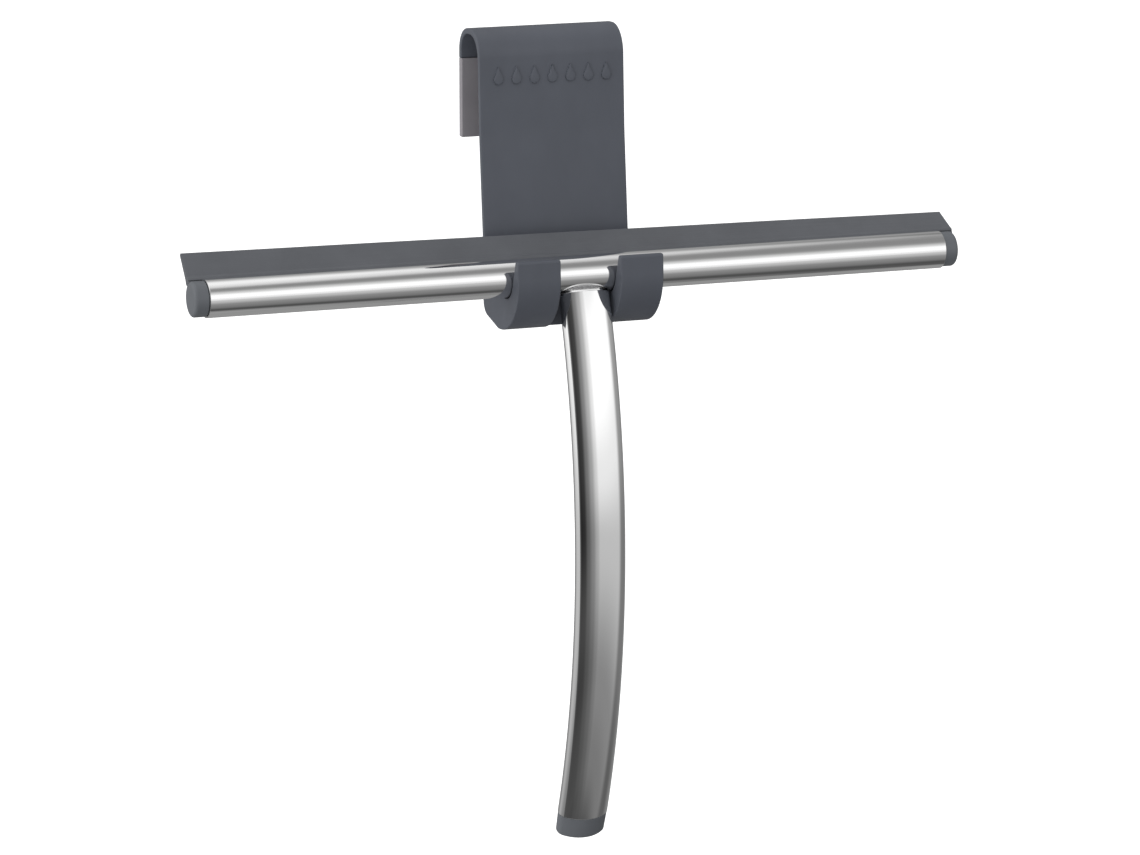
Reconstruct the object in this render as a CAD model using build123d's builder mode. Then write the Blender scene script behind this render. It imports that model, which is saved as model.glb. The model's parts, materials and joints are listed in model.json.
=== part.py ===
"""A shower squeegee hanging in the two cradles of its over-door hanger.

The origin is the middle of the flat seat under the hanger's bend, where the door's top edge bears.
+X runs along the blade, +Y points back over the door and +Z up.
"""

from build123d import *
import os
from math import acos, asin, cos, degrees, radians, sin, sqrt, tan

os.makedirs("parts", exist_ok=True)

# ---- Hanger: one moulding, 51.5 mm wide, with a 15.5 mm gap for the door ----
hanger_width = 51.5
wall = 2.0
seat_flat = 2.0
front_bend_r = 9.5
rear_bend_r = 8.0
plate_front_y = -(seat_flat / 2 + front_bend_r)
leg_rear_y = seat_flat / 2 + rear_bend_r
knee_drop = 33.3
knee_r = 80.0
plate_lean = 2.8
leg_flare = 2.5
sleeve_top = -8.5
sleeve_length = 26.6
sleeve_thickness = 2.8
sleeve_wall = 0.8
trim_round = 0.4

# ---- Squeegee head, measured from the axis of its tube ----
tube_r = 6.35
tube_wall = 0.8
tube_length = 261.0
plate_standoff = 20.9
head_drop = 78.25
head_shift = 1.1
slot_width = 3.0
blade_angle = 45.8
blade_length = 272.0
blade_shift = 1.2
lip_reach = 17.9
bead_r = 2.35
bead_reach = 1.0
bead_length = 241.4
neck_half = 0.8
root_half = 1.5
root_step = 0.9
shoulder_half = 1.05
shoulder_step = 1.9
lip_half = 0.55
moving_gap = 0.3

# ---- End caps of the head ----
cap_r = 5.87
cap_length = 5.0
cap_edge_r = 1.1
cap_plug_length = 8.0
cap_bore_r = 3.6
plug_relief = 0.4
slide_gap = 0.05
seam_gap = 0.1

# ---- Cradles ----
cradle_width = 15.1
tongue_front = 12.2
tongue_top = 6.6
tongue_top_r = 0.9
tongue_slope = 21.0
cradle_bottom = 17.7
web_bottom = 13.4
nose_r = 18.0
belly_r = 2.0
belly_back = 8.0
heel_r = 5.0
heel_thickness = 4.0
cradle_r = tube_r + moving_gap
notch_back = 7.0
notch_depth = 30.0

# ---- Handle: a flattened oval tube bent to one long arc ----
handle_arc_r = 260.0
handle_apex_drop = 82.5
handle_length = 188.3
oval_half_width = 8.75
oval_half_depth = 5.5
oval_side_r = 3.6
handle_wall = 1.0
contact_gap = 0.03
handle_top = 6.6
spacer_half_width = 7.2
spacer_half_depth = 2.7
handle_cap_length = 8.2
handle_cap_taper = 1.5
handle_cap_edge_r = 1.5
handle_cap_inset = 0.1
handle_cap_plug = 10.0
handle_plug_gap = 0.25

# ---- Screw that ties the head to the handle ----
screw_r = 2.0
screw_clearance = 0.2
thread_gap = 0.02
screw_head_r = 3.2
screw_head_edge = 0.3
hex_socket_r = 1.3
hex_socket_depth = 1.2

# ---- Frames worked out from the dimensions above ----
head_y = plate_front_y - plate_standoff
half_hanger = hanger_width / 2
half_gap = half_hanger - cradle_width
half_tube = tube_length / 2
bore_r = tube_r - tube_wall
head_origin = (head_shift, head_y, -head_drop)
head_plane = Plane(origin=head_origin, x_dir=(0, 1, 0), z_dir=(1, 0, 0))
cradle_plane = Plane(origin=(0, head_y, -head_drop), x_dir=(0, 1, 0), z_dir=(1, 0, 0))
blade_across = (0, cos(radians(blade_angle)), sin(radians(blade_angle)))
carrier_plane = Plane(origin=head_origin, x_dir=blade_across, z_dir=(1, 0, 0))
blade_plane = carrier_plane.offset(blade_shift)

# The handle's arc passes through the tube's axis, leaning forward by neck_angle there.
neck_angle = degrees(asin(handle_apex_drop / handle_arc_r))
arc_centre_y = head_y + sqrt(handle_arc_r**2 - handle_apex_drop**2)
arc_centre_z = -head_drop - handle_apex_drop
arc_axis = Axis(origin=(0, arc_centre_y, arc_centre_z), direction=(1, 0, 0))


def handle_plane(along):
    """The section plane at a distance along the handle's arc, facing its foot."""
    angle = radians(neck_angle) - along / handle_arc_r
    y = arc_centre_y - handle_arc_r * cos(angle)
    z = arc_centre_z + handle_arc_r * sin(angle)
    return Plane(origin=(head_shift, y, z), x_dir=(1, 0, 0), z_dir=(0, -sin(angle), -cos(angle)))


def arc_degrees(length):
    """The turn of the handle's arc over a length of it."""
    return degrees(length / handle_arc_r)


def oval(plane, grow=0.0):
    """The handle's oval section: two flat arcs and two side arcs, offset outwards by grow."""
    side_centre = oval_half_width - oval_side_r
    rise = oval_half_depth - oval_side_r
    flat_centre = (side_centre**2 - rise**2) / (2 * rise)
    flat_r = oval_half_depth + flat_centre + grow
    side_r = oval_side_r + grow
    reach = sqrt(side_centre**2 + flat_centre**2)
    x = flat_r * side_centre / reach
    y = flat_r * flat_centre / reach - flat_centre
    with BuildSketch(plane) as section:
        with BuildLine():
            ThreePointArc((-x, y), (0, flat_r - flat_centre), (x, y))
            ThreePointArc((x, y), (side_centre + side_r, 0), (x, -y))
            ThreePointArc((x, -y), (0, flat_centre - flat_r), (-x, -y))
            ThreePointArc((-x, -y), (-side_centre - side_r, 0), (-x, y))
        make_face()
    return section.sketch


neck_plane = handle_plane(0)
top_plane = handle_plane(handle_top)
foot_plane = handle_plane(handle_length)


def head_disc(radius):
    """A disc on the tube's axis, for cutting a saddle to the head tube."""
    with BuildSketch(head_plane) as section:
        Circle(radius)
    return section.sketch


def plate_front(z):
    """How far behind the tube's axis the plate's front face is, z above that axis."""
    below_knee = max(0.0, head_drop - knee_drop - z)
    return plate_standoff - below_knee * tan(radians(plate_lean))


# ---- Hanger body ----
knee_z = -knee_drop
plate_tail = 6.0
plate_end_z = -head_drop - plate_tail
plate_end_y = plate_front_y - (knee_z - plate_end_z) * tan(radians(plate_lean))
leg_tilt = radians(leg_flare)
leg_centre_y = leg_rear_y - wall / 2 + (wall - sleeve_top) * tan(leg_tilt)
leg_across_y = wall / 2 * cos(leg_tilt)
leg_across_z = wall / 2 * sin(leg_tilt)
with BuildSketch(Plane.YZ) as strip:
    with BuildLine():
        FilletPolyline(
            (leg_centre_y + leg_across_y, sleeve_top + leg_across_z),
            (leg_rear_y, wall),
            (plate_front_y, wall),
            (plate_front_y, knee_z),
            (plate_end_y, plate_end_z),
            (plate_end_y + wall, plate_end_z),
            (plate_front_y + wall, knee_z),
            (plate_front_y + wall, 0),
            (leg_rear_y - wall, 0),
            (leg_centre_y - leg_across_y, sleeve_top - leg_across_z),
            radius=(0, rear_bend_r, front_bend_r, knee_r, 0, 0, knee_r - wall, front_bend_r - wall,
                    rear_bend_r - wall, 0),
            close=True,
        )
    make_face()

slope = radians(tongue_slope)
flank_y = cradle_r * cos(slope)
flank_z = -cradle_r * sin(slope)
tongue_inner = flank_y + (tongue_top - flank_z) * tan(slope)
shelf_start = flank_y - flank_z * tan(slope)
gusset = 3.0
with BuildSketch(cradle_plane) as cradle:
    with BuildLine():
        Polyline(
            (plate_front(gusset) + wall / 2, gusset),
            (plate_front(gusset), gusset),
            (plate_front(0) - gusset, 0),
            (shelf_start, 0),
            (flank_y, flank_z),
        )
        ThreePointArc((flank_y, flank_z), (0, -cradle_r), (-flank_y, flank_z))
        FilletPolyline(
            (-flank_y, flank_z),
            (-tongue_inner, tongue_top),
            (-tongue_front, tongue_top),
            (-tongue_front, -cradle_bottom),
            (belly_back, -cradle_bottom),
            (plate_front(-web_bottom) + heel_thickness, -web_bottom),
            (plate_front(gusset) + wall, gusset),
            (plate_front(gusset) + wall / 2, gusset),
            radius=(tongue_top_r, tongue_top_r, nose_r, belly_r, heel_r, 0),
        )
    make_face()

leg_plane = Plane(
    origin=(0, leg_centre_y, sleeve_top),
    x_dir=(1, 0, 0),
    z_dir=(0, sin(leg_tilt), -cos(leg_tilt)),
)
# The sleeve is flush with the leg's back and stands proud towards the door; its core stays inside the leg.
sleeve_centre = (0, (sleeve_thickness - wall) / 2)
core_width = hanger_width - 2 * sleeve_wall
core_thickness = sleeve_thickness - 2 * sleeve_wall

# One raised drop, with its tip above its round belly; a row of them decorates the plate.
drop_r = 1.7
drop_height = 4.3
drop_count = 7
drop_pitch = 6.4
drop_relief = 0.7
drop_row_z = -14.6
tip_angle = acos(drop_r / drop_height)
tip_x = drop_r * sin(tip_angle)
tip_z = drop_r * cos(tip_angle)
with BuildSketch() as drop:
    with BuildLine():
        Polyline((-tip_x, tip_z), (0, drop_height), (tip_x, tip_z))
        ThreePointArc((tip_x, tip_z), (0, -drop_r), (-tip_x, tip_z))
    make_face()

# Core pockets open at the back keep the moulding's walls even behind the cradles.
pocket_count = 4
pocket_pitch = 12.1
pocket_width = 9.6
pocket_height = 7.0
pocket_corner_r = 1.5
pocket_depth = 11.5
pocket_drop = 6.0
pocket_mouth_y = head_y + plate_front(-pocket_drop) + 2 * wall

with BuildPart() as hanger_body:
    extrude(strip.sketch, amount=half_hanger, both=True)
    extrude(cradle.sketch, amount=half_hanger, both=True)
    with Locations((0, head_y + notch_back - notch_depth / 2, -head_drop)):
        Box(2 * half_gap, notch_depth, 2 * notch_depth, mode=Mode.SUBTRACT)
    left_side, left_cheek, right_cheek, right_side = hanger_body.faces().filter_by(Axis.X).sort_by(Axis.X)
    cheek_edges = (left_cheek.edges() + right_cheek.edges()).sort_by(Axis.Y)[:-2]
    chamfer(left_side.edges() + right_side.edges() + cheek_edges, trim_round)
    with BuildSketch(Plane.XZ.offset(-pocket_mouth_y)):
        with Locations((0, -head_drop - pocket_drop)):
            with GridLocations(pocket_pitch, 0, pocket_count, 1):
                RectangleRounded(pocket_width, pocket_height, pocket_corner_r)
    extrude(amount=pocket_depth + wall, mode=Mode.SUBTRACT)
    with BuildSketch(leg_plane), Locations(sleeve_centre):
        Rectangle(core_width, core_thickness)
    extrude(amount=sleeve_length - sleeve_wall)
    with BuildSketch(Plane.XZ.offset(-plate_front_y)):
        with Locations((0, drop_row_z)):
            with GridLocations(drop_pitch, 0, drop_count, 1):
                add(drop.sketch)
    extrude(amount=drop_relief)
hanger_body.part.label = "hanger_body"
export_step(hanger_body.part, "parts/hanger_body.step")

# ---- Grip sleeve over the back leg's rebated core ----
with BuildPart() as grip_sleeve:
    with BuildSketch(leg_plane), Locations(sleeve_centre):
        RectangleRounded(hanger_width, sleeve_thickness, trim_round)
    extrude(amount=sleeve_length)
    fillet(grip_sleeve.faces().sort_by(Axis.Z)[0].edges(), trim_round)
    with BuildSketch(leg_plane), Locations(sleeve_centre):
        Rectangle(core_width, core_thickness)
    extrude(amount=sleeve_length - sleeve_wall, mode=Mode.SUBTRACT)
grip_sleeve.part.label = "grip_sleeve"
export_step(grip_sleeve.part, "parts/grip_sleeve.step")

# ---- Head tube with its blade slot and screw hole ----
with BuildPart() as head_tube:
    with BuildSketch(head_plane):
        Circle(tube_r)
        Circle(bore_r, mode=Mode.SUBTRACT)
    extrude(amount=half_tube, both=True)
    with BuildSketch(carrier_plane):
        Rectangle(2 * tube_r, slot_width, align=(Align.MIN, Align.CENTER))
    extrude(amount=half_tube, both=True, mode=Mode.SUBTRACT)
    with BuildSketch(neck_plane):
        Circle(screw_r + screw_clearance)
    extrude(amount=tube_r + 1, mode=Mode.SUBTRACT)
head_tube.part.label = "head_tube"
export_step(head_tube.part, "parts/head_tube.step")

# ---- Blade carrier: a channel inside the tube, relieved over the screw ----
carrier_end_gap = 0.5
carrier_half = half_tube - cap_plug_length - carrier_end_gap
carrier_floor = -2.0
carrier_mouth = 2 * (neck_half + moving_gap)
relief_start = 1.5
relief_r = 3.9
with BuildPart() as blade_carrier:
    with BuildSketch(carrier_plane):
        Circle(bore_r - slide_gap)
        with Locations((carrier_floor, 0)):
            Rectangle(2 * bore_r, 2 * bore_r, align=(Align.MAX, Align.CENTER), mode=Mode.SUBTRACT)
        with Locations((bead_reach, 0)):
            Circle(bead_r + moving_gap, mode=Mode.SUBTRACT)
            Rectangle(bore_r, carrier_mouth, align=(Align.MIN, Align.CENTER), mode=Mode.SUBTRACT)
    extrude(amount=carrier_half, both=True)
    with BuildSketch(neck_plane.offset(relief_start)):
        Circle(relief_r)
    extrude(amount=tube_r, mode=Mode.SUBTRACT)
blade_carrier.part.label = "blade_carrier"
export_step(blade_carrier.part, "parts/blade_carrier.step")

# ---- Blade: the lip outside the tube, with a neck and bead inside it ----
root_reach = tube_r + moving_gap
with BuildPart() as blade:
    with BuildSketch(blade_plane):
        with BuildLine():
            Polyline(
                (root_reach, -root_half),
                (root_reach + root_step, -root_half),
                (root_reach + shoulder_step, -shoulder_half),
                (lip_reach, -lip_half),
                (lip_reach, lip_half),
                (root_reach + shoulder_step, shoulder_half),
                (root_reach + root_step, root_half),
                (root_reach, root_half),
                close=True,
            )
        make_face()
    extrude(amount=blade_length / 2, both=True)
    with BuildSketch(blade_plane):
        with Locations((bead_reach, 0)):
            Circle(bead_r)
            Rectangle(root_reach, 2 * neck_half, align=(Align.MIN, Align.CENTER))
    extrude(amount=bead_length / 2, both=True)
blade.part.label = "blade"
export_step(blade.part, "parts/blade.step")

# ---- End caps, one pushed into each end of the tube ----
for side, name in ((-1, "end_cap_left"), (1, "end_cap_right")):
    seat = Plane(
        origin=(head_shift + side * (half_tube + seam_gap), head_y, -head_drop),
        x_dir=blade_across,
        z_dir=(side, 0, 0),
    )
    with BuildPart() as end_cap:
        with BuildSketch(seat):
            Circle(cap_r)
        extrude(amount=cap_length - seam_gap)
        outer_face = end_cap.faces().sort_by(Axis.X)[0 if side < 0 else -1]
        fillet(outer_face.edges(), cap_edge_r)
        with BuildSketch(seat):
            Circle(bore_r - slide_gap)
            Circle(cap_bore_r, mode=Mode.SUBTRACT)
            with Locations((bore_r - plug_relief, 0)):
                Rectangle(2, slot_width, align=(Align.MIN, Align.CENTER), mode=Mode.SUBTRACT)
        extrude(amount=-cap_plug_length)
    end_cap.part.label = name
    export_step(end_cap.part, f"parts/{name}.step")

# ---- Handle tube, cut square just below the head tube ----
tube_turn = arc_degrees(handle_length - handle_top)
with BuildPart() as handle_tube:
    revolve(oval(top_plane), arc_axis, tube_turn)
    revolve(oval(top_plane, -handle_wall), arc_axis, tube_turn, mode=Mode.SUBTRACT)
handle_tube.part.label = "handle_tube"
export_step(handle_tube.part, "parts/handle_tube.step")

# ---- Handle plug: fills the tube's top end and takes the screw ----
plug_length = 24.0
thread_depth = 19.0
with BuildPart() as handle_plug:
    revolve(oval(top_plane, -handle_wall - contact_gap), arc_axis, arc_degrees(plug_length - handle_top))
    with BuildSketch(neck_plane):
        Circle(screw_r + thread_gap)
    extrude(amount=thread_depth, mode=Mode.SUBTRACT)
handle_plug.part.label = "handle_plug"
export_step(handle_plug.part, "parts/handle_plug.step")

# ---- Saddle spacer between the handle's end and the tube ----
with BuildPart() as saddle_spacer:
    with BuildSketch(top_plane.offset(-contact_gap)):
        SlotOverall(2 * spacer_half_width, 2 * spacer_half_depth)
    extrude(amount=-handle_top)
    extrude(head_disc(tube_r + contact_gap), amount=half_tube, both=True, mode=Mode.SUBTRACT)
    with BuildSketch(neck_plane):
        Circle(screw_r + screw_clearance)
    extrude(amount=2 * tube_r, mode=Mode.SUBTRACT)
saddle_spacer.part.label = "saddle_spacer"
export_step(saddle_spacer.part, "parts/saddle_spacer.step")

# ---- Saddle washer and head screw, inside the tube ----
washer_top = 3.7
washer_r = 3.6
head_height = 1.7
screw_end_gap = 1.0
with BuildPart() as saddle_washer:
    with BuildSketch(neck_plane.offset(washer_top)):
        Circle(washer_r)
        Circle(screw_r + screw_clearance / 2, mode=Mode.SUBTRACT)
    extrude(amount=tube_r - washer_top)
    extrude(head_disc(bore_r - contact_gap), amount=half_tube, both=True, mode=Mode.INTERSECT)
saddle_washer.part.label = "saddle_washer"
export_step(saddle_washer.part, "parts/saddle_washer.step")

with BuildPart() as head_screw:
    with BuildSketch(neck_plane.offset(washer_top)):
        Circle(screw_head_r)
    extrude(amount=-head_height)
    chamfer(head_screw.edges().group_by(Axis.Z)[-1], screw_head_edge)
    with BuildSketch(neck_plane.offset(washer_top)):
        Circle(screw_r)
    extrude(amount=thread_depth - washer_top - screw_end_gap)
    with BuildSketch(neck_plane.offset(washer_top - head_height)):
        RegularPolygon(hex_socket_r, 6, major_radius=False)
    extrude(amount=hex_socket_depth, mode=Mode.SUBTRACT)
head_screw.part.label = "head_screw"
export_step(head_screw.part, "parts/head_screw.step")

# ---- Handle end cap: a rounded oval foot with a straight plug ----
with BuildPart() as handle_end_cap:
    foot_length = handle_cap_length - seam_gap
    extrude(oval(foot_plane.offset(seam_gap), -handle_cap_inset), amount=foot_length, taper=handle_cap_taper)
    foot_face = handle_end_cap.faces().filter_by(GeomType.PLANE).sort_by(Axis.Z)[0]
    fillet(foot_face.edges(), handle_cap_edge_r)
    extrude(oval(foot_plane.offset(seam_gap), -handle_wall - handle_plug_gap), amount=-handle_cap_plug)
handle_end_cap.part.label = "handle_end_cap"
export_step(handle_end_cap.part, "parts/handle_end_cap.step")
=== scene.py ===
"""A shower squeegee hanging in its over-door hanger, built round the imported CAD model. Metres."""

import json
import math

import bmesh
import bpy
from mathutils import Matrix, Vector

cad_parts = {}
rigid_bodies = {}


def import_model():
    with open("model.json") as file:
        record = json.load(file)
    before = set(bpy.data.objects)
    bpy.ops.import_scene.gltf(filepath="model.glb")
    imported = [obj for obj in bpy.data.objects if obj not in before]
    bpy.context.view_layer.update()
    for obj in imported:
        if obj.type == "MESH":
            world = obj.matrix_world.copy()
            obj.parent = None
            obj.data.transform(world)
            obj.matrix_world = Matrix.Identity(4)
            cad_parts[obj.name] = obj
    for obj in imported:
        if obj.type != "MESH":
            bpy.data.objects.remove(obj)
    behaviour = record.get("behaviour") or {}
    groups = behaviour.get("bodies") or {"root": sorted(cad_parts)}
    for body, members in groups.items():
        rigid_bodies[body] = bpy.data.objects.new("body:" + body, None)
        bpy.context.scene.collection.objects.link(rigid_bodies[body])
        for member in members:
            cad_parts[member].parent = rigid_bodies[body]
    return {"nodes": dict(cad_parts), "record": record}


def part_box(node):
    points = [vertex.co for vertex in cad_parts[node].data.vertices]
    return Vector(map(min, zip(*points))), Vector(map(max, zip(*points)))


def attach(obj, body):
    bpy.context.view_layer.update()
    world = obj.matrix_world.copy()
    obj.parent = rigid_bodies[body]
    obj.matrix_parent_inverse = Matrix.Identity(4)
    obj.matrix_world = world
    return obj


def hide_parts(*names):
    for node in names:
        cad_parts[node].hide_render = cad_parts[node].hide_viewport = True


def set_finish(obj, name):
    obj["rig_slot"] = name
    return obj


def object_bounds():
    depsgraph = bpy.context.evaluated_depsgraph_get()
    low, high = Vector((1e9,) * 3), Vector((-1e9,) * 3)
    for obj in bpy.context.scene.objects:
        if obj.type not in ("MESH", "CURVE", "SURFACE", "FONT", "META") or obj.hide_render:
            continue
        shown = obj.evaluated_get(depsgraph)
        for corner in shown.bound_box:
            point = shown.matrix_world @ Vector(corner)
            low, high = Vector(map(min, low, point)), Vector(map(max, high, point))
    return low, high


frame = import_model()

cad_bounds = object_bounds()
MM = 0.001

# ---- Places read from the frame ----
tube_low, tube_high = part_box("head_tube")
tube_axis = (tube_low + tube_high) / 2
tube_r = (tube_high.z - tube_low.z) / 2
tube_half = (tube_high.x - tube_low.x) / 2
hanger_low, hanger_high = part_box("hanger_body")
blade_low, blade_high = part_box("blade")
cap_low, cap_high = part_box("end_cap_right")
cap_r = (cap_high.z - cap_low.z) / 2

# ---- Dimensions of the part that its boxes don't give ----
WALL = 2.0 * MM
SEAT_FLAT = 2.0 * MM
FRONT_BEND_R = 9.5 * MM
REAR_BEND_R = 8.0 * MM
KNEE_DROP = 33.3 * MM
KNEE_R = 80.0 * MM
PLATE_LEAN = math.radians(2.8)
LEG_FLARE = math.radians(2.5)
SLEEVE_TOP = -8.5 * MM
CRADLE_WIDTH = 15.1 * MM
TONGUE_TOP = 6.6 * MM
TONGUE_TOP_R = 0.9 * MM
TONGUE_FRONT = 12.2 * MM
TONGUE_SLOPE = math.radians(21)
CRADLE_GAP = 0.3 * MM
CRADLE_BOTTOM = 17.7 * MM
WEB_BOTTOM = 13.4 * MM
NOSE_R = 18.0 * MM
BELLY_R = 2.0 * MM
BELLY_BACK = 8.0 * MM
HEEL_R = 5.0 * MM
HEEL_TOP_R = 12.0 * MM
HEEL_THICKNESS = 4.0 * MM
NOTCH_BACK = 7.0 * MM
GUSSET = 3.0 * MM
GUSSET_R = 1.5 * MM
EDGE_R = 0.42 * MM
POCKET_COUNT = 4
POCKET_PITCH = 12.1 * MM
POCKET_SIZE = (9.6 * MM, 16.0 * MM, 7.0 * MM)
POCKET_CORNER = 1.5 * MM
POCKET_BEHIND = 16.9 * MM
POCKET_BELOW = 6.0 * MM
DROP_COUNT = 7
DROP_PITCH = 6.4 * MM
DROP_BELLY_R = 1.7 * MM
DROP_TIP = 4.3 * MM
DROP_RELIEF = 0.7 * MM
DROP_ROW_Z = -14.6 * MM
TUBE_WALL = 0.8 * MM
SLOT_HALF = 1.5 * MM
BLADE_ANGLE = math.radians(45.8)
BLADE_DIR = Vector((0, math.cos(BLADE_ANGLE), math.sin(BLADE_ANGLE)))
SIDE_DIR = Vector((0, -math.sin(BLADE_ANGLE), math.cos(BLADE_ANGLE)))
LIP_REACH = 17.9 * MM
LIP_FLEX = (0.8 * MM, -2.7 * MM)
BEAD_LENGTH = 241.4 * MM
HANDLE_ARC_R = 260.0 * MM
HANDLE_APEX_DROP = 82.5 * MM
HANDLE_LENGTH = 188.3 * MM
OVAL_HALF_WIDTH = 8.75 * MM
OVAL_HALF_DEPTH = 5.5 * MM
OVAL_SIDE_R = 3.6 * MM
HANDLE_WALL = 1.0 * MM
HANDLE_TOP = 6.6 * MM
CONTACT_GAP = 0.03 * MM
SPACER_HALF_WIDTH = 7.2 * MM
SPACER_HALF_DEPTH = 2.7 * MM
SCREW_HOLE_R = 2.2 * MM
RIM_R = 0.22 * MM


# ---- Mesh helpers ----
def new_object(name, bm):
    """A new object from a bmesh, with its normals facing out."""
    bmesh.ops.recalc_face_normals(bm, faces=bm.faces)
    mesh = bpy.data.meshes.new(name)
    bm.to_mesh(mesh)
    bm.free()
    obj = bpy.data.objects.new(name, mesh)
    bpy.context.scene.collection.objects.link(obj)
    return obj


def grid(name, rows, closed_rows=False, cap_ends=False):
    """A skin over rows of points. Each row is a closed ring; closed_rows joins the last to the first."""
    bm = bmesh.new()
    verts = [[bm.verts.new(point) for point in row] for row in rows]
    count = len(rows[0])
    last = len(rows) if closed_rows else len(rows) - 1
    for i in range(last):
        a, b = verts[i], verts[(i + 1) % len(rows)]
        for j in range(count):
            k = (j + 1) % count
            bm.faces.new((a[j], a[k], b[k], b[j]))
    if cap_ends:
        bm.faces.new(verts[0])
        bm.faces.new(verts[-1])
    return new_object(name, bm)


def round_edges(obj, width, sharp=35.0):
    """Applies a bevel to the edges that turn by more than an angle."""
    rounding = obj.modifiers.new("rounding", "BEVEL")
    rounding.limit_method = "ANGLE"
    rounding.angle_limit = math.radians(sharp)
    rounding.width = width
    rounding.segments = 3
    rounding.use_clamp_overlap = False
    apply_modifiers(obj)


def settle(obj, sharp=35.0):
    """Applies weighted smooth normals that stay sharp past an angle."""
    obj.data.shade_smooth()
    obj.data.set_sharp_from_angle(angle=math.radians(sharp))
    weighting = obj.modifiers.new("weighting", "WEIGHTED_NORMAL")
    weighting.keep_sharp = True
    weighting.weight = 90
    apply_modifiers(obj)
    return obj


def apply_modifiers(obj):
    """Replaces the object's mesh with its evaluated mesh."""
    graph = bpy.context.evaluated_depsgraph_get()
    mesh = bpy.data.meshes.new_from_object(obj.evaluated_get(graph))
    obj.modifiers.clear()
    old = obj.data
    obj.data = mesh
    bpy.data.meshes.remove(old)


def combine(obj, tools, operation):
    """A boolean with each tool in turn, which is then deleted."""
    for tool in tools:
        cut = obj.modifiers.new("cut", "BOOLEAN")
        cut.operation = operation
        cut.solver = "EXACT"
        cut.object = tool
        apply_modifiers(obj)
        bpy.data.objects.remove(tool)
    return obj


def rounded_path(corners, radii, step=4.0):
    """Points along a polyline with its corners rounded, about step degrees apart on the arcs."""
    points = []
    for i, (corner, radius) in enumerate(zip(corners, radii)):
        corner = Vector(corner)
        if radius <= 0 or i in (0, len(corners) - 1):
            points.append(corner)
            continue
        back = (Vector(corners[i - 1]) - corner).normalized()
        ahead = (Vector(corners[i + 1]) - corner).normalized()
        half = back.angle(ahead) / 2
        bisector = (back + ahead).normalized()
        centre = corner + bisector * radius / math.sin(half)
        start = corner + back * radius / math.tan(half) - centre
        turn = math.pi - 2 * half
        sign = 1 if start.y * back.x > start.x * back.y else -1
        count = max(2, math.ceil(math.degrees(turn) / step))
        for k in range(count + 1):
            a = sign * turn * k / count
            spun_x = start.x * math.cos(a) - start.y * math.sin(a)
            spun_y = start.x * math.sin(a) + start.y * math.cos(a)
            points.append(centre + Vector((spun_x, spun_y)))
    return points


def arc_points(centre, radius, first, last, count):
    """Points on an arc in a plane, from one angle to another, in radians."""
    angles = [first + (last - first) * k / count for k in range(count + 1)]
    return [Vector((centre[0] + radius * math.cos(a), centre[1] + radius * math.sin(a))) for a in angles]


# ---- Hanger ----
def hanger_outlines():
    """The side outline in (y, z) as two runs: a cradle's J, and the rest, as wide as the hanger."""
    hy, hz = tube_axis.y, tube_axis.z
    front_y = -(SEAT_FLAT / 2 + FRONT_BEND_R)
    rear_y = SEAT_FLAT / 2 + REAR_BEND_R

    def front_at(z):
        """The plate's front face at a height."""
        return front_y - max(0.0, -KNEE_DROP - z) * math.tan(PLATE_LEAN)

    leg_end = Vector((rear_y - WALL / 2 + (WALL - SLEEVE_TOP) * math.tan(LEG_FLARE), SLEEVE_TOP))
    across = Vector((math.cos(LEG_FLARE), math.sin(LEG_FLARE))) * WALL / 2
    heel_z, gusset_z = hz - WEB_BOTTOM, hz + GUSSET
    front = rounded_path(
        [
            leg_end + across,
            (rear_y, WALL),
            (front_y, WALL),
            (front_y, -KNEE_DROP),
            (front_at(gusset_z), gusset_z),
            (front_at(hz) - GUSSET, hz),
            (hy + NOTCH_BACK, hz),
        ],
        [0, REAR_BEND_R, FRONT_BEND_R, KNEE_R, GUSSET_R, GUSSET_R, 0],
    )
    cradle_r = tube_r + CRADLE_GAP
    flank = Vector((cradle_r * math.cos(TONGUE_SLOPE), cradle_r * math.sin(TONGUE_SLOPE)))
    inner_top = flank.x + (TONGUE_TOP + flank.y) * math.tan(TONGUE_SLOPE)
    scoop = arc_points((hy, hz), cradle_r, -TONGUE_SLOPE, TONGUE_SLOPE - math.pi, 40)
    under = rounded_path(
        [
            (hy - flank.x, hz - flank.y),
            (hy - inner_top, hz + TONGUE_TOP),
            (hy - TONGUE_FRONT, hz + TONGUE_TOP),
            (hy - TONGUE_FRONT, hz - CRADLE_BOTTOM),
            (hy + BELLY_BACK, hz - CRADLE_BOTTOM),
            (front_at(heel_z) + HEEL_THICKNESS, heel_z),
            (front_at(gusset_z) + WALL, gusset_z),
            (front_y + WALL, -KNEE_DROP),
            (front_y + WALL, 0),
            (rear_y - WALL, 0),
            leg_end - across,
        ],
        [
            0, TONGUE_TOP_R, TONGUE_TOP_R, NOSE_R, BELLY_R, HEEL_R, HEEL_TOP_R, KNEE_R,
            FRONT_BEND_R - WALL, REAR_BEND_R - WALL, 0,
        ],
    )
    notch_y = hy + NOTCH_BACK
    first = next(k for k, p in enumerate(under) if p.x > notch_y)
    before, after = under[first - 1], under[first]
    notch_foot = before.lerp(after, (notch_y - before.x) / (after.x - before.x))
    return scoop + under[1:first], [notch_foot] + under[first:] + front


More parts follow.
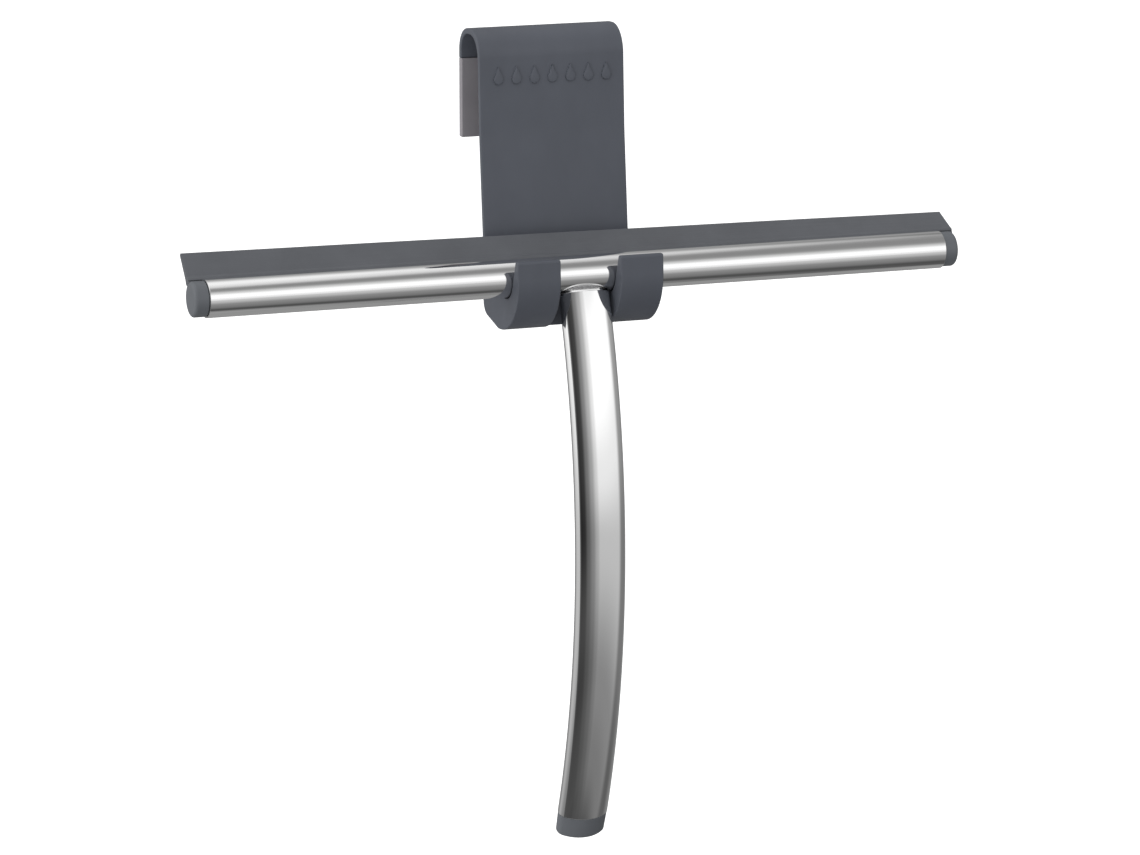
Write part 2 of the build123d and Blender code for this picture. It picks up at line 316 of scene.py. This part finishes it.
def build_hanger():
    """The whole moulding as one closed mesh: the bent plate, two cradles and the web between them."""
    j, shared = hanger_outlines()
    half = (hanger_high.x - hanger_low.x) / 2
    inner = half - CRADLE_WIDTH
    bm = bmesh.new()

    def column(points, x):
        """The vertices of an outline at a place along X."""
        return [bm.verts.new((x, p.x, p.y)) for p in points]

    stations = (-half, -inner, inner, half)
    sides = {x: (column(shared, x), column(j, x)) for x in stations}

    def skin(a, b):
        """The faces between two columns."""
        for k in range(len(a) - 1):
            bm.faces.new((a[k], a[k + 1], b[k + 1], b[k]))

    for x0, x1 in zip(stations, stations[1:]):
        skin(sides[x0][0], sides[x1][0])
    cradles = {x: [run[-1], *j_run, run[0]] for x, (run, j_run) in sides.items()}
    for x0, x1 in ((-half, -inner), (inner, half)):
        skin(cradles[x0], cradles[x1])
    for x in (-half, half):
        bm.faces.new(sides[x][0] + sides[x][1])
    for x in (-inner, inner):
        bm.faces.new(cradles[x])
    a, b = sides[-inner][0], sides[inner][0]
    bm.faces.new((a[0], a[-1], b[-1], b[0]))
    return new_object("hanger_moulding", bm)


def drop(centre_x, plate_y):
    """One raised drop on the plate: a round belly with a pointed top, domed over its outline."""
    tip = Vector((0, DROP_TIP))
    tip_angle = math.acos(DROP_BELLY_R / DROP_TIP)
    first = math.pi / 2 + tip_angle
    outline = arc_points((0, 0), DROP_BELLY_R, first, first + 2 * math.pi - 2 * tip_angle, 40)
    last = outline[-1]
    outline += [last.lerp(tip, k / 8) for k in range(1, 9)]
    outline += [tip.lerp(outline[0], k / 8) for k in range(1, 8)]
    centre = Vector((0, 0.5 * MM))
    # Each level is a share of the outline and its height over the plate in millimetres.
    levels = [(1.0, -0.5), (1.0, -0.1), (0.985, 0.35)]
    for a in (math.radians(18 * k) for k in range(1, 6)):
        levels.append((0.985 - 0.1 * (1 - math.cos(a)), 0.35 + 0.25 * math.sin(a)))
    levels += [(0.6, 0.66), (0.3, 0.7)]
    rows = []
    for share, height in levels:
        y = plate_y - min(height * MM, DROP_RELIEF)
        ring = [centre + (p - centre) * share for p in outline]
        rows.append([(centre_x + p.x, y, DROP_ROW_Z + p.y) for p in ring])
    return grid("drop", rows, cap_ends=True)


def pocket(centre_x):
    """A cutter for one core pocket in the hanger's back, its edges along Y rounded."""
    width, depth, height = POCKET_SIZE
    w, h = width / 2 - POCKET_CORNER, height / 2 - POCKET_CORNER
    outline = []
    for sx, sz, turn in ((1, 1, 0), (-1, 1, 90), (-1, -1, 180), (1, -1, 270)):
        first, last = math.radians(turn), math.radians(turn + 90)
        outline += arc_points((sx * w, sz * h), POCKET_CORNER, first, last, 6)
    y, z = tube_axis.y + POCKET_BEHIND, tube_axis.z - POCKET_BELOW
    rows = [[(centre_x + p.x, y + side * depth / 2, z + p.y) for p in outline] for side in (-1, 1)]
    return grid("pocket", rows, cap_ends=True)


def row_of(count, pitch):
    """Places along X of a centred row."""
    return [(k - (count - 1) / 2) * pitch for k in range(count)]


hanger = build_hanger()
combine(hanger, [pocket(x) for x in row_of(POCKET_COUNT, POCKET_PITCH)], "DIFFERENCE")
round_edges(hanger, EDGE_R)
plate_y = -(SEAT_FLAT / 2 + FRONT_BEND_R)
combine(hanger, [drop(x, plate_y) for x in row_of(DROP_COUNT, DROP_PITCH)], "UNION")
settle(hanger)
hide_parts("hanger_body")
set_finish(hanger, "hanger_plastic")
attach(hanger, "hanger")


# ---- Head tube: a slotted tube with rolled lips and eased rims ----
def tube_section(inset):
    """The tube's C-shaped section, its wall thinned by inset on each side, as (outer, inner) arcs."""
    outer_r, inner_r = tube_r - inset, tube_r - TUBE_WALL + inset
    outer_gap = math.asin((SLOT_HALF + inset) / outer_r)
    inner_gap = math.asin((SLOT_HALF + inset) / inner_r)
    count = 120
    outer = arc_points((0, 0), outer_r, outer_gap, 2 * math.pi - outer_gap, count)
    inner = arc_points((0, 0), inner_r, inner_gap, 2 * math.pi - inner_gap, count)
    return outer, inner


def lip_round(a, b):
    """A round nose between the outer and inner arcs at the slot's edge."""
    middle, half = (a + b) / 2, (a - b).length / 2
    along = (a - b).normalized()
    out = Vector((0, -1))
    return [
        middle + along * half * math.cos(t) + out * min(half, 0.25 * MM) * math.sin(t)
        for t in (math.pi * k / 6 for k in range(1, 6))
    ]


def head_point(x, p):
    """A point in the head's section at a place along X: p.x out along the blade and p.y across it."""
    return Vector((x, tube_axis.y, tube_axis.z)) + BLADE_DIR * p.x + SIDE_DIR * p.y


def build_tube():
    """The tube as rings of its C section along X."""

    def ring(x, inset):
        """The section's closed outline at a place along X."""
        outer, inner = tube_section(inset)
        loop = outer + lip_round(outer[-1], inner[-1])
        loop += inner[::-1] + lip_round(inner[0], outer[0])
        return [head_point(x, p) for p in loop]

    rows = []
    steps = 4
    for side in (-1, 1):
        edge = []
        for k in range(steps + 1):
            a = math.radians(90 * k / steps)
            x = tube_axis.x + side * (tube_half - RIM_R + RIM_R * math.sin(a))
            edge.append(ring(x, RIM_R * (1 - math.cos(a))))
        rows += edge[::-1] if side < 0 else edge
    return grid("head_tube_polished", rows, cap_ends=True)


tube = settle(build_tube(), sharp=50)
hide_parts("head_tube")
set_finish(tube, "polished_steel")
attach(tube, "squeegee")


# ---- Handle: an oval tube on one long arc, cut to saddle the head ----
neck = math.asin(HANDLE_APEX_DROP / HANDLE_ARC_R)
arc_centre = Vector((
    tube_axis.x,
    tube_axis.y + math.sqrt(HANDLE_ARC_R**2 - HANDLE_APEX_DROP**2),
    tube_axis.z - HANDLE_APEX_DROP,
))


def handle_point(along, u, v):
    """A point in the handle's section at a distance along the arc: u across and v to the front."""
    a = neck - along / HANDLE_ARC_R
    front = Vector((0, -math.cos(a), math.sin(a)))
    return arc_centre + Vector((u, 0, 0)) + front * (HANDLE_ARC_R + v)


def oval(grow, count=96):
    """The oval outline of the handle, grown outwards, as (across, front) points."""
    side_centre = OVAL_HALF_WIDTH - OVAL_SIDE_R
    rise = OVAL_HALF_DEPTH - OVAL_SIDE_R
    flat_centre = (side_centre**2 - rise**2) / (2 * rise)
    flat_half = math.atan2(side_centre, flat_centre)
    flat_r = OVAL_HALF_DEPTH + flat_centre + grow
    side_r = OVAL_SIDE_R + grow
    points = []
    quarter = count // 4
    for turn in (1, -1):
        flat = [-flat_half + 2 * flat_half * k / quarter for k in range(quarter + 1)]
        points += [
            (turn * flat_r * math.sin(a), turn * (flat_r * math.cos(a) - flat_centre)) for a in flat
        ]
        sweep = math.pi - 2 * flat_half
        side = [flat_half + sweep * k / quarter for k in range(1, quarter)]
        points += [
            (turn * (side_centre + side_r * math.sin(a)), turn * side_r * math.cos(a)) for a in side
        ]
    return points


def saddle(u, v, radius):
    """How far along the arc the point (u, v) of the section meets a cylinder about the tube's axis."""
    low, high = 0.0, 20 * MM
    for _ in range(40):
        middle = (low + high) / 2
        p = handle_point(middle, u, v)
        reach = math.hypot(p.y - tube_axis.y, p.z - tube_axis.z)
        low, high = (middle, high) if reach < radius else (low, middle)
    return (low + high) / 2


def build_handle():
    """The handle's wall as a closed skin: over the top rim, down the outside and back up the inside."""
    ease = [math.radians(22.5 * k) for k in range(5)]
    top, foot = HANDLE_TOP + RIM_R, HANDLE_LENGTH - RIM_R
    profile = [(-RIM_R * (1 - math.sin(a)), top - RIM_R * math.cos(a)) for a in ease]
    profile += [(0.0, top + (foot - top) * k / 90) for k in range(1, 90)]
    profile += [(-RIM_R * (1 - math.cos(a)), foot + RIM_R * math.sin(a)) for a in ease]
    profile += [(RIM_R * (1 - math.sin(a)) - HANDLE_WALL, foot + RIM_R * math.cos(a)) for a in ease]
    profile += [(-HANDLE_WALL, foot + (top - foot) * k / 24) for k in range(1, 24)]
    profile += [(RIM_R * (1 - math.cos(a)) - HANDLE_WALL, top - RIM_R * math.sin(a)) for a in ease]
    rows = [[handle_point(along, u, v) for u, v in oval(grow)] for grow, along in profile]
    return grid("handle_tube_polished", rows, closed_rows=True)


handle = settle(build_handle(), sharp=50)
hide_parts("handle_tube")
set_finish(handle, "polished_steel")
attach(handle, "squeegee")


def build_spacer():
    """The slot-shaped spacer: flat below, hollowed to the tube above, with the screw's hole."""
    half_run = SPACER_HALF_WIDTH - SPACER_HALF_DEPTH
    edge = 0.15 * MM
    base = HANDLE_TOP - CONTACT_GAP
    seat = tube_r + CONTACT_GAP

    def outline(radius):
        """A slot's outline about the same straight run."""
        right = arc_points((half_run, 0), radius, -math.pi / 2, math.pi / 2, 24)
        left = arc_points((-half_run, 0), radius, math.pi / 2, 3 * math.pi / 2, 24)
        return right + left

    eased = ((1.0, 0.0), (0.3, 0.3), (0.0, 1.0))
    rows = [[handle_point(base, u, v) for u, v in outline(0.3 * MM)]]
    for inset, lift in eased:
        ring = outline(SPACER_HALF_DEPTH - inset * edge)
        rows.append([handle_point(base - lift * edge, u, v) for u, v in ring])
    for inset, lift in eased[::-1]:
        ring = outline(SPACER_HALF_DEPTH - inset * edge)
        rows.append([handle_point(saddle(u, v, seat) + lift * edge, u, v) for u, v in ring])
    for radius in (1.9 * MM, 1.1 * MM, 0.3 * MM):
        rows.append([handle_point(saddle(u, v, seat), u, v) for u, v in outline(radius)])
    spacer = grid("saddle_spacer_polished", rows, cap_ends=True)
    bore = arc_points((0, 0), SCREW_HOLE_R, 0, 2 * math.pi, 32)[:-1]
    rows = [[handle_point(along, u, v) for u, v in bore] for along in (4 * MM, 9 * MM)]
    return combine(spacer, [grid("drill", rows, cap_ends=True)], "DIFFERENCE")


spacer = settle(build_spacer(), sharp=50)
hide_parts("saddle_spacer")
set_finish(spacer, "polished_steel")
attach(spacer, "squeegee")


# ---- Handle end cap ----
def build_handle_cap():
    """The oval foot: a plug inside the tube, a seam, a tapered body and a flat sole with a rounded edge."""
    seam, length, plug = 0.1 * MM, 8.2 * MM, 10.0 * MM
    fit, step, ease = HANDLE_WALL + 0.25 * MM, 0.1 * MM, 0.2 * MM
    edge, taper = 1.5 * MM, math.tan(math.radians(1.5))
    profile = [(-fit, -plug), (-fit, seam), (-step - ease, seam), (-step, seam + ease)]
    for k in range(1, 7):
        along = seam + ease + (length - edge - seam - ease) * k / 6
        profile.append((-step - along * taper, along))
    shrink = -step - (length - edge) * taper
    for a in (math.radians(11.25 * k) for k in range(1, 9)):
        profile.append((shrink - edge * (1 - math.cos(a)), length - edge + edge * math.sin(a)))
    a = neck - HANDLE_LENGTH / HANDLE_ARC_R
    down = Vector((0, -math.sin(a), -math.cos(a)))
    rows = []
    for grow, along in profile:
        rows.append([handle_point(HANDLE_LENGTH, u, v) + down * along for u, v in oval(grow)])
    return grid("handle_foot", rows, cap_ends=True)


handle_cap = settle(build_handle_cap(), sharp=40)
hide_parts("handle_end_cap")
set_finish(handle_cap, "cap_plastic")
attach(handle_cap, "handle_cap")


# ---- End caps of the head ----
def build_end_cap(name, side):
    """A turned cap: a hollow plug inside the tube, a shoulder at the seam and a domed nose."""
    plug_r, hollow_r, tip_r = tube_r - TUBE_WALL - 0.05 * MM, 3.6 * MM, 0.05 * MM
    seam, nose_r, length = 0.1 * MM, 5.87 * MM, 5.0 * MM
    ease, edge, crown = 0.25 * MM, 1.2 * MM, 0.12 * MM
    profile = [
        (-1.0 * MM, tip_r), (-1.0 * MM, hollow_r), (-8.0 * MM, hollow_r),
        (-8.0 * MM, plug_r - 0.3 * MM), (-7.7 * MM, plug_r), (seam, plug_r), (seam, nose_r - ease),
    ]
    for a in (math.radians(30 * k) for k in range(1, 4)):
        profile.append((seam + ease * (1 - math.cos(a)), nose_r - ease + ease * math.sin(a)))
    profile.append((length - edge, nose_r))
    for a in (math.radians(9 * k) for k in range(1, 11)):
        x = length - edge + (edge - crown) * math.sin(a)
        profile.append((x, nose_r - edge + edge * math.cos(a)))
    for r in (3.5 * MM, 2.2 * MM, 1.0 * MM, tip_r):
        profile.append((length - crown + crown * (1 - (r / (nose_r - edge)) ** 2), r))
    angles = [2 * math.pi * k / 96 for k in range(96)]
    centre = Vector((tube_axis.x + side * tube_half, tube_axis.y, tube_axis.z))
    rows = []
    for x, r in profile:
        rows.append([centre + Vector((side * x, r * math.cos(t), r * math.sin(t))) for t in angles])
    return grid(name, rows, cap_ends=True)


for side, body, node in ((-1, "left_cap", "end_cap_left"), (1, "right_cap", "end_cap_right")):
    cap = settle(build_end_cap(node + "_turned", side), sharp=40)
    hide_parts(node)
    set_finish(cap, "cap_plastic")
    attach(cap, body)


# ---- Blade ----
def build_blade():
    """The rubber extrusion: a tapering, twisted lip outside the tube, its neck and bead inside."""
    middle = (blade_low.x + blade_high.x) / 2
    half = (blade_high.x - blade_low.x) / 2
    root = tube_r + 0.3 * MM
    flank = [
        (root, 1.5 * MM, 0.2 * MM),
        (root + 0.9 * MM, 1.5 * MM, 0.5 * MM),
        (root + 1.9 * MM, 1.05 * MM, 1.0 * MM),
        (LIP_REACH, 0.55 * MM, 0.12 * MM),
    ]
    back = flank[::-1]
    corners = [(root, 0)] + [(x, -y) for x, y, _ in flank] + [(x, y) for x, y, _ in back] + [(root, 0)]
    radii = [0] + [r for _, _, r in flank + back] + [0]
    lip = rounded_path(corners, radii, step=12)[:-1]
    rows = []
    for x in (-half + 2 * half * k / 136 for k in range(137)):
        ripple = 0.05 * MM * math.sin(x / 0.031) + 0.03 * MM * math.sin(x / 0.0117 + 1.3)
        flex = LIP_FLEX[0] + (LIP_FLEX[1] - LIP_FLEX[0]) * (x + half) / (2 * half)
        row = []
        for p in lip:
            reach = max(0.0, (p.x - root) / (LIP_REACH - root))
            bend = flex * reach**2
            out = p.x - bend**2 / (2 * (LIP_REACH - root))
            row.append(head_point(middle + x, Vector((out, p.y + bend + ripple * reach**2))))
        rows.append(row)
    blade = grid("blade_rubber_strip", rows, cap_ends=True)

    def bar(section, first, last):
        """A straight bar of one section between two places along X."""
        rows = [[head_point(x, p) for p in section] for x in (first, last)]
        return grid("bar", rows, cap_ends=True)

    top, neck_half, bead_r, fin_half = root + 0.3 * MM, 0.8 * MM, 2.35 * MM, 1.15 * MM
    neck_angle = math.asin(neck_half / bead_r)
    bead = arc_points((1.0 * MM, 0), bead_r, neck_angle, 2 * math.pi - neck_angle, 40)
    bead += [Vector((top, -neck_half)), Vector((top, neck_half))]
    fin_foot = cap_r + 0.08 * MM
    fin_corners = ((fin_foot, -fin_half), (top, -fin_half), (top, fin_half), (fin_foot, fin_half))
    fin = [Vector(p) for p in fin_corners]
    tools = [bar(bead, middle - BEAD_LENGTH / 2, middle + BEAD_LENGTH / 2)]
    for side in (-1, 1):
        first = tube_axis.x + side * (tube_half + 0.15 * MM)
        tools.append(bar(fin, first, middle + side * (half - 0.02 * MM)))
    return combine(blade, tools, "UNION")


blade = settle(build_blade(), sharp=40)
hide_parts("blade")
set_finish(blade, "blade_rubber")
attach(blade, "blade")


# ---- Materials ----
class Shader:
    """A material's node tree, with short calls for the nodes that these materials use."""

    def __init__(self, name, **sockets):
        self.material = bpy.data.materials.new(name)
        self.material.use_nodes = True
        self.tree = self.material.node_tree
        self.surface = self.tree.nodes["Principled BSDF"]
        for socket, value in sockets.items():
            self.surface.inputs[socket.replace("_", " ")].default_value = value
        self.place = self.node("ShaderNodeTexCoord").outputs["Object"]

    def node(self, kind, **inputs):
        """A new node with its inputs linked or set."""
        made = self.tree.nodes.new(kind)
        for name, value in inputs.items():
            self.feed(made.inputs[name.replace("_", " ")], value)
        return made

    def feed(self, socket, value):
        """Links a socket to an output, or sets its value."""
        if isinstance(value, bpy.types.NodeSocket):
            self.tree.links.new(value, socket)
        else:
            socket.default_value = value

    def noise(self, scale, detail=3.0, roughness=0.5, stretch=None):
        """Noise with a number of features in each metre, stretched along an axis if asked."""
        place = self.place
        if stretch:
            place = self.node("ShaderNodeMapping", Vector=self.place, Scale=stretch).outputs["Vector"]
        made = self.node("ShaderNodeTexNoise", Vector=place, Scale=scale, Detail=detail, Roughness=roughness)
        return made.outputs["Fac"]

    def spread(self, value, low, high):
        """A value from about 0.3 to 0.7 spread over a range."""
        ends = {"From_Min": 0.3, "From_Max": 0.7, "To_Min": low, "To_Max": high}
        return self.node("ShaderNodeMapRange", Value=value, **ends).outputs["Result"]

    def colours(self, value, *stops):
        """A colour ramp: pairs of position and colour."""
        ramp = self.node("ShaderNodeValToRGB", Fac=value)
        elements = ramp.color_ramp.elements
        while len(elements) < len(stops):
            elements.new(0.5)
        for element, (position, colour) in zip(elements, stops):
            element.position = position
            element.color = (*colour, 1)
        return ramp.outputs["Color"]

    def bump(self, height, distance, strength, under=None):
        """A bump node's normal, laid over another if given."""
        made = self.node("ShaderNodeBump", Height=height, Distance=distance, Strength=strength)
        if under is not None:
            self.feed(made.inputs["Normal"], under)
        return made.outputs["Normal"]

    def set(self, socket, value):
        """Feeds one of the surface shader's sockets."""
        self.feed(self.surface.inputs[socket], value)


def tint(colour, factor):
    """A colour made lighter or darker."""
    return tuple(c * factor for c in colour)


def moulded_plastic(name, colour, rough, grain):
    """Satin moulded plastic: a fine spark-eroded grain and faint flow marks, its roughness varying a little.
    """
    shader = Shader(name, Specular_IOR_Level=0.42)
    flow = shader.noise(38, 4, 0.6, stretch=(1, 1, 0.35))
    tones = ((0.3, tint(colour, 0.93)), (0.5, colour), (0.72, tint(colour, 1.08)))
    shader.set("Base Color", shader.colours(flow, *tones))
    shader.set("Roughness", shader.spread(shader.noise(120, 5), rough - 0.05, rough + 0.06))
    texture = shader.bump(shader.noise(2600, 2, 0.6), 0.00003, grain)
    shader.set("Normal", shader.bump(shader.noise(60, 2), 0.0003, 0.05, under=texture))
    return shader.material


def rubber(name, colour, streak_axis):
    """Matt rubber with faint extrusion lines and a dusty bloom."""
    shader = Shader(name, Specular_IOR_Level=0.32)
    stretch = tuple(0.02 if axis == streak_axis else 1.0 for axis in range(3))
    streaks = shader.noise(1400, 2, 0.5, stretch=stretch)
    bloom = shader.noise(55, 5, 0.62)
    shader.set("Base Color", shader.colours(bloom, (0.32, tint(colour, 0.94)), (0.68, tint(colour, 1.08))))
    shader.set("Roughness", shader.spread(streaks, 0.5, 0.66))
    grain = shader.bump(shader.noise(3000, 2), 0.00002, 0.2)
    shader.set("Normal", shader.bump(streaks, 0.00002, 0.25, under=grain))
    return shader.material


def polished(name, colour, rough):
    """Mirror-polished metal with a faint film of smudges and fine polishing marks."""
    shader = Shader(name, Metallic=1.0)
    smudge = shader.noise(45, 4, 0.6)
    shader.set("Base Color", shader.colours(smudge, (0.35, tint(colour, 0.985)), (0.65, colour)))
    shader.set("Roughness", shader.spread(shader.noise(90, 5, 0.65), rough, rough + 0.035))
    shader.set("Normal", shader.bump(shader.noise(900, 3, 0.6), 0.000004, 0.12))
    return shader.material


def brushed(name, colour, rough):
    """Plain metal for the inner pieces, with fine turning marks."""
    shader = Shader(name, Metallic=1.0)
    marks = shader.noise(2200, 3, 0.6, stretch=(0.1, 1, 1))
    shader.set("Base Color", shader.colours(marks, (0.3, tint(colour, 0.9)), (0.7, colour)))
    shader.set("Roughness", shader.spread(marks, rough, rough + 0.15))
    shader.set("Normal", shader.bump(marks, 0.00002, 0.3))
    return shader.material


MATERIALS = {
    "hanger_plastic": moulded_plastic("hanger_plastic_look", (0.1, 0.109, 0.132), 0.5, 0.5),
    "sleeve_rubber": rubber("sleeve_rubber_look", (0.285, 0.272, 0.292), 0),
    "polished_steel": polished("polished_steel_look", (0.93, 0.93, 0.93), 0.045),
    "carrier_plastic": moulded_plastic("carrier_plastic_look", (0.5, 0.5, 0.49), 0.5, 0.3),
    "blade_rubber": rubber("blade_rubber_look", (0.118, 0.124, 0.137), 0),
    "cap_plastic": moulded_plastic("cap_plastic_look", (0.14, 0.15, 0.166), 0.46, 0.35),
    "plug_alloy": brushed("plug_alloy_look", (0.7, 0.7, 0.71), 0.4),
    "fastener_steel": brushed("fastener_steel_look", (0.62, 0.62, 0.63), 0.28),
}
slots = {part["node"]: part["material_slot"] for part in frame["record"]["subparts"]}
pieces = [(obj, slots[name]) for name, obj in frame["nodes"].items()]
pieces += [(obj, obj["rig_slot"]) for obj in bpy.data.objects if "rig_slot" in obj]
for obj, slot in pieces:
    obj.data.materials.clear()
    obj.data.materials.append(MATERIALS[slot])


# ---- Studio ----
def studio_floor():
    """A wide pale floor well below the hanging object."""
    size, clearance = 14.0, 0.28
    z = cad_bounds[0][2] - clearance
    bm = bmesh.new()
    corners = [bm.verts.new((x * size, y * size, z)) for x, y in ((-1, -1), (1, -1), (1, 1), (-1, 1))]
    bm.faces.new(corners)
    floor = new_object("studio_floor", bm)
    shader = Shader("studio_floor_paint", Base_Color=(0.8, 0.8, 0.8, 1), Roughness=0.9)
    shader.set("Emission Color", (1, 1, 1, 1))
    shader.set("Emission Strength", 0.62)
    floor.data.materials.append(shader.material)
    floor.visible_glossy = False
    floor.visible_diffuse = False


class Sky:
    """The studio's surroundings as brightness by direction, which the polished parts mirror."""

    def __init__(self):
        world = bpy.data.worlds.new("studio")
        world.use_nodes = True
        bpy.context.scene.world = world
        self.tree = world.node_tree
        self.background = self.tree.nodes["Background"]
        direction = self.tree.nodes.new("ShaderNodeTexCoord").outputs["Generated"]
        split = self.tree.nodes.new("ShaderNodeSeparateXYZ")
        self.tree.links.new(direction, split.inputs[0])
        forward = self.math("MULTIPLY", split.outputs["Y"], -1.0)
        self.right, self.back, self.up = split.outputs
        self.azimuth = self.math("ARCTAN2", split.outputs["X"], forward)
        self.elevation = self.math("ARCSINE", split.outputs["Z"])

    def math(self, operation, *values):
        """A math node over sockets and numbers."""
        made = self.tree.nodes.new("ShaderNodeMath")
        made.operation = operation
        for socket, value in zip(made.inputs, values):
            if isinstance(value, bpy.types.NodeSocket):
                self.tree.links.new(value, socket)
            else:
                socket.default_value = value
        return made.outputs[0]

    def blend(self, share, low, high):
        """A value between two others, by a share from 0 to 1."""
        made = self.tree.nodes.new("ShaderNodeMix")
        made.data_type = "FLOAT"
        for socket, value in (("Factor", share), ("A", low), ("B", high)):
            if isinstance(value, bpy.types.NodeSocket):
                self.tree.links.new(value, made.inputs[socket])
            else:
                made.inputs[socket].default_value = value
        return made.outputs["Result"]

    def curve(self, value, low, high, *stops):
        """Brightness by a value between two ends: pairs of the value and a brightness."""
        place = self.tree.nodes.new("ShaderNodeMapRange")
        self.tree.links.new(value, place.inputs["Value"])
        place.inputs["From Min"].default_value = low
        place.inputs["From Max"].default_value = high
        curve = self.tree.nodes.new("ShaderNodeValToRGB")
        self.tree.links.new(place.outputs["Result"], curve.inputs["Fac"])
        curve.color_ramp.interpolation = "EASE"
        elements = curve.color_ramp.elements
        while len(elements) < len(stops):
            elements.new(0.5)
        for element, (at, level) in zip(elements, stops):
            element.position = (at - low) / (high - low)
            element.color = (level, level, level, 1)
        return curve.outputs["Color"]

    def ramp(self, value, reach, *stops):
        """Brightness by an angle from -reach to reach degrees: pairs of an angle and a brightness."""
        stops = [(math.radians(angle), level) for angle, level in stops]
        return self.curve(value, -math.radians(reach), math.radians(reach), *stops)


def studio_sky():
    """Soft light, strongest from the left and above; polished parts mirror white panels in it."""
    sky = Sky()
    around = sky.ramp(
        sky.azimuth, 180,
        (-180, 0.45), (-155, 0.6), (-130, 0.95), (-108, 1.0), (-87, 0.95), (-78, 0.14), (-62, 0.035),
        (-50, 0.05), (-38, 0.2), (-22, 0.42), (-8, 0.75), (2, 1.0), (71, 1.0), (88, 0.36), (110, 0.3),
        (140, 0.42), (180, 0.45),
    )
    front = sky.ramp(
        sky.elevation, 90,
        (-90, 0.36), (-74, 0.34), (-69, 0.22), (-65.5, 0.09), (-61, 0.08), (-46, 0.2), (-34, 0.25),
        (-12, 0.55), (-2, 0.88), (8, 1.12), (20, 1.1), (25, 0.95), (29, 0.74), (36, 0.6), (44, 0.42),
        (52, 0.31), (90, 0.3),
    )
    behind = sky.ramp(
        sky.elevation, 90,
        (-90, 0.3), (-50, 0.3), (-15, 0.26), (5, 0.2), (28, 0.3), (45, 0.38), (90, 0.38),
    )
    back = sky.ramp(sky.azimuth, 180, (-180, 1), (-165, 1), (-135, 0), (95, 0), (125, 1), (180, 1))
    downward = sky.ramp(sky.elevation, 90, (-90, 1), (-64, 1), (-50, 0.35), (-26, 0.13), (-10, 0), (90, 0))
    around = sky.blend(downward, around, 1.0)
    sides = sky.blend(back, sky.math("MULTIPLY", around, front), behind)
    slope = sky.math("SUBTRACT", sky.right, sky.math("MULTIPLY", sky.back, 0.17))
    steep = sky.math("MAXIMUM", sky.up, 0.2)
    overhead = sky.curve(
        sky.math("DIVIDE", slope, steep), -0.6, 1.0,
        (-0.6, 0.9), (0.2, 1.0), (0.29, 0.95), (0.345, 0.78), (0.375, 0.66), (0.41, 0.47), (0.44, 0.3),
        (0.5, 0.26), (1.0, 0.3),
    )
    falloff = sky.curve(
        sky.math("DIVIDE", sky.back, steep), -1.0, 2.0,
        (-1.0, 1), (0.3, 1), (0.49, 0.8), (0.73, 0.56), (1.1, 0.4), (2.0, 0.3),
    )
    overhead = sky.math("MULTIPLY", overhead, falloff)
    upward = sky.ramp(sky.elevation, 90, (-90, 0), (33, 0), (54, 1), (90, 1))
    mirrored = sky.blend(upward, sides, overhead)
    soft = sky.math("MULTIPLY_ADD", sky.right, -0.62, 0.68)
    soft = sky.math("MULTIPLY_ADD", sky.up, 0.38, soft)
    soft = sky.math("MAXIMUM", sky.math("MULTIPLY_ADD", sky.back, -0.02, soft), 0.12)
    path = sky.tree.nodes.new("ShaderNodeLightPath").outputs
    strength = sky.blend(path["Is Diffuse Ray"], mirrored, soft)
    strength = sky.blend(path["Is Camera Ray"], strength, 0.97)
    sky.tree.links.new(strength, sky.background.inputs["Strength"])
    sky.background.inputs["Color"].default_value = (1, 1, 1, 1)


def studio_camera():
    """A long lens from the front left, a little above the head."""
    azimuth, elevation, roll, distance = 0.366, 0.16, -0.017, 1.8
    target = tube_axis + Vector((-4.9, 0, -51.4)) * MM
    level = math.cos(elevation)
    view = Vector((math.sin(azimuth) * level, math.cos(azimuth) * level, -math.sin(elevation)))
    right = Vector((math.cos(azimuth), -math.sin(azimuth), 0))
    up = right.cross(view)
    tilted_right = right * math.cos(roll) + up * math.sin(roll)
    tilted_up = up * math.cos(roll) - right * math.sin(roll)
    data = bpy.data.cameras.new("camera")
    data.sensor_width = 36
    data.lens = 170.8
    data.clip_end = 100
    camera = bpy.data.objects.new("camera", data)
    bpy.context.scene.collection.objects.link(camera)
    turn = Matrix((tilted_right, tilted_up, -view)).transposed().to_4x4()
    camera.matrix_world = Matrix.Translation(target - view * distance) @ turn
    bpy.context.scene.camera = camera


studio_floor()
studio_sky()
studio_camera()
bpy.context.scene.view_settings.view_transform = "Standard"
